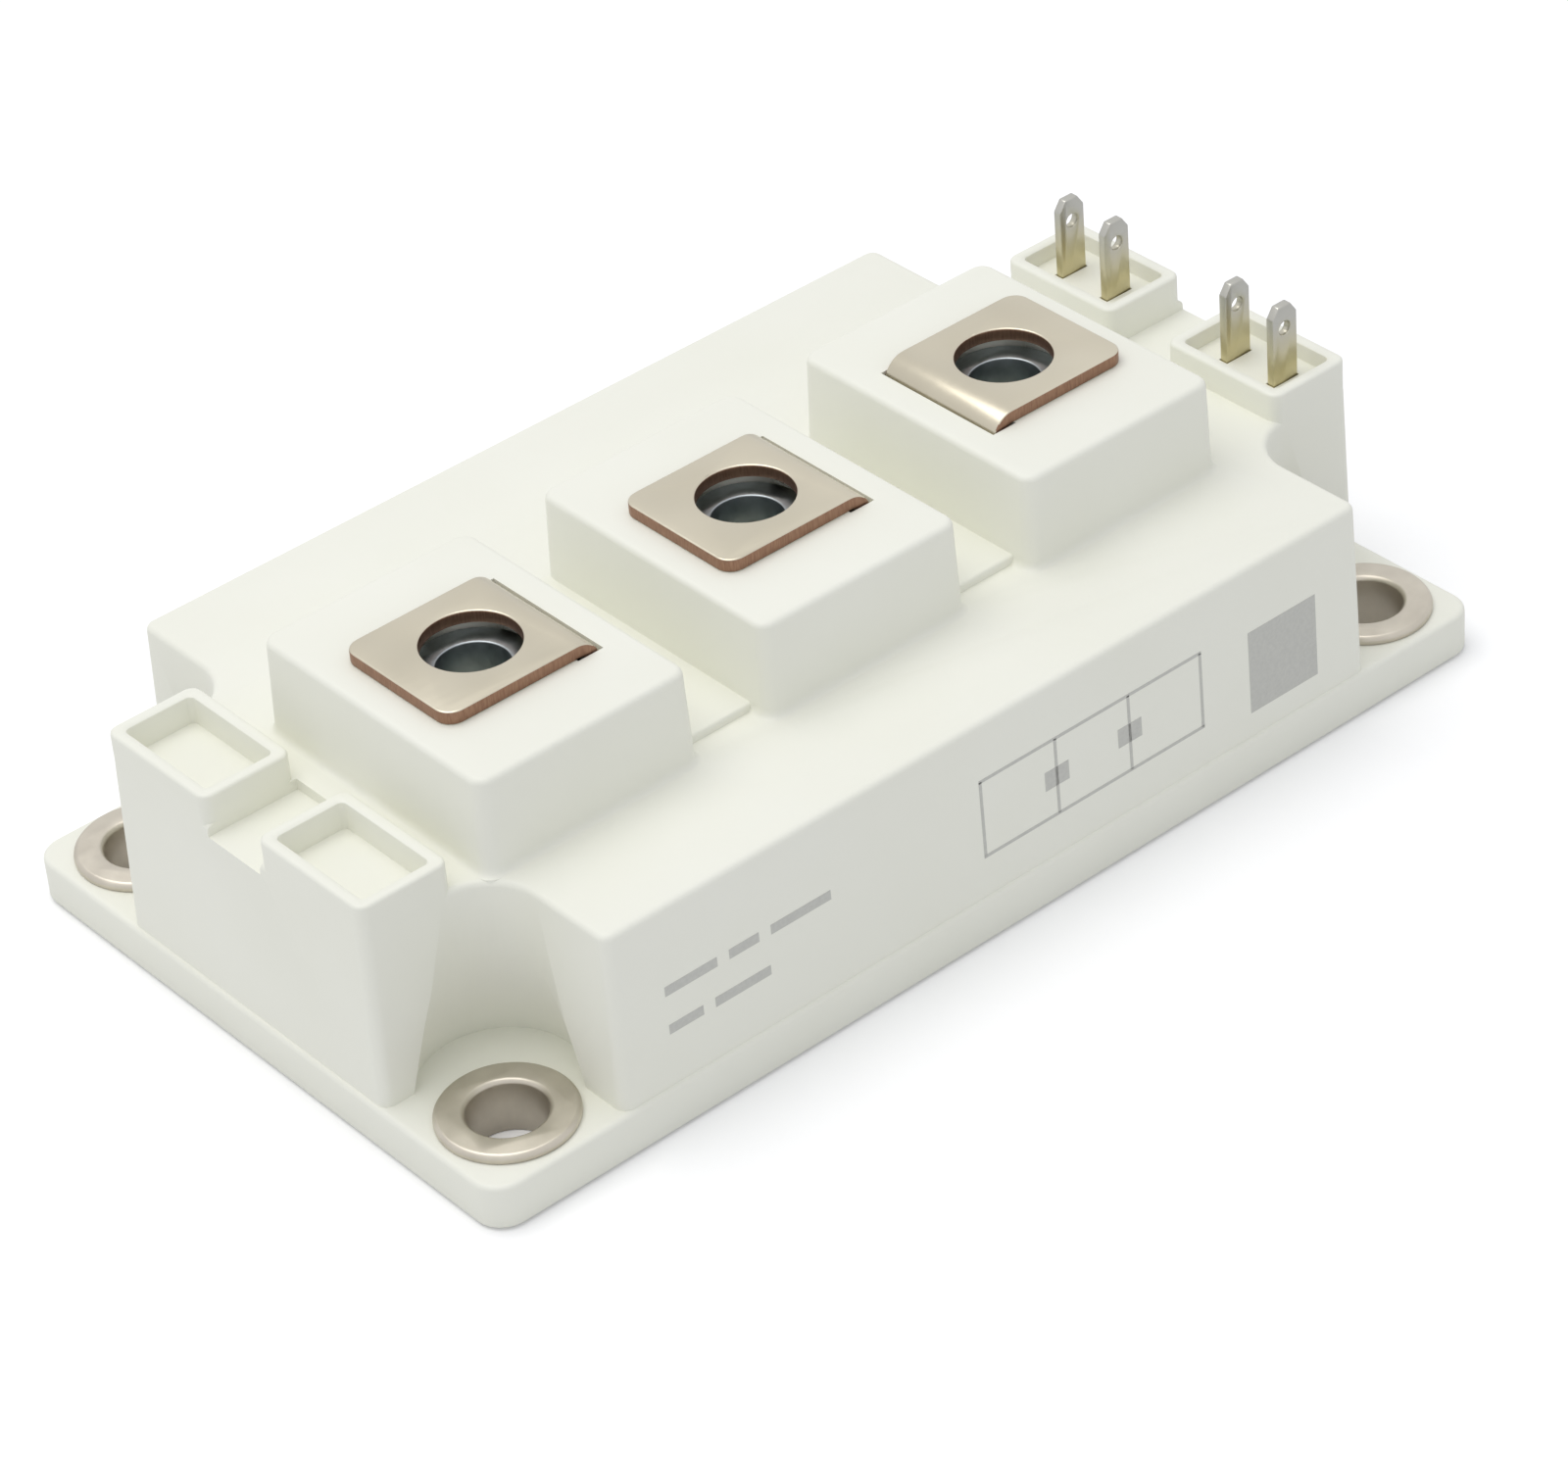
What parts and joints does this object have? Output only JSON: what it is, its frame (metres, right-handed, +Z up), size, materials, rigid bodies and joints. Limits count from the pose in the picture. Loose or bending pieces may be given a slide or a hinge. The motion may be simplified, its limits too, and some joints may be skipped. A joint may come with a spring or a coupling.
{
  "type": "igbt module",
  "caption": "Half-bridge IGBT power module in a moulded housing with screw terminals, flat control tabs and a metal baseplate.",
  "frame": {"origin": "middle of the baseplate's underside", "axes": "+X runs along the module towards the control tabs, +Y across it towards the plain long side, +Z up out of the baseplate"},
  "size_m": [0.1064, 0.0614, 0.0305],
  "materials": {
    "white_plastic": "fine moulded grain",
    "nickel_plate": "nickel-plated copper",
    "eyelet_metal": "rolled and nickel-plated steel",
    "terminal_metal": "satin nickel on copper, bare at the cut edges",
    "nut_steel": "zinc-plated",
    "tab_metal": "tinned tip over brass",
    "ceramic": "fired alumina",
    "tile_copper": "etched copper foil",
    "silicon": "polished silicon, metallised"
  },
  "bodies": {
    "root": {"housing": "white_plastic", "baseplate": "nickel_plate", "mounting_eyelet_1": "eyelet_metal", "mounting_eyelet_2": "eyelet_metal", "mounting_eyelet_3": "eyelet_metal", "mounting_eyelet_4": "eyelet_metal", "power_terminal_1": "terminal_metal", "power_terminal_2": "terminal_metal", "power_terminal_3": "terminal_metal", "terminal_nut_1": "nut_steel", "terminal_nut_2": "nut_steel", "terminal_nut_3": "nut_steel", "control_pin_1": "tab_metal", "control_pin_2": "tab_metal", "control_pin_3": "tab_metal", "control_pin_4": "tab_metal", "tile_backing_1": "tile_copper", "tile_backing_2": "tile_copper", "ceramic_tile_1": "ceramic", "ceramic_tile_2": "ceramic", "tile_copper_1": "tile_copper", "tile_copper_2": "tile_copper", "igbt_chip_1": "silicon", "igbt_chip_2": "silicon", "igbt_chip_3": "silicon", "igbt_chip_4": "silicon", "igbt_chip_5": "silicon", "igbt_chip_6": "silicon", "diode_chip_1": "silicon", "diode_chip_2": "silicon", "diode_chip_3": "silicon", "diode_chip_4": "silicon", "diode_chip_5": "silicon", "diode_chip_6": "silicon"}
  },
  "joints": []
}
